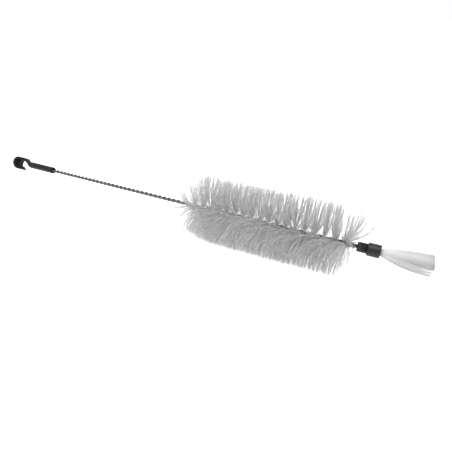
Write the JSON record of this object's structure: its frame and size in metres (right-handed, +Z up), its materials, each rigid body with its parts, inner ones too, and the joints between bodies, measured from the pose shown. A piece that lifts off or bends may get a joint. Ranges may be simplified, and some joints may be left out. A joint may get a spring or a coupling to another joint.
{
  "type": "bottle brush",
  "caption": "Twisted-wire bottle brush with a helix of nylon bristles, a flared tuft at its tip and a hanging hook.",
  "frame": {"origin": "on the surface the brush lies on, under the middle of its overall length, with the wire above it", "axes": "+X along the wire towards the tuft, +Z up from the surface, +Y to the left of +X"},
  "size_m": [0.3948, 0.051, 0.0502],
  "materials": {
    "black_plastic": "moulded polyethylene, satin",
    "galvanised_wire": "drawn and zinc coated",
    "nylon_bristle": "white nylon filament, translucent",
    "nylon_tuft": "fine white nylon filament, translucent"
  },
  "bodies": {
    "root": {"hook_handle": "black_plastic", "twisted_wire": "galvanised_wire", "bristles": "nylon_bristle", "tip_ferrule": "black_plastic", "tip_tuft": "nylon_tuft"}
  },
  "joints": []
}
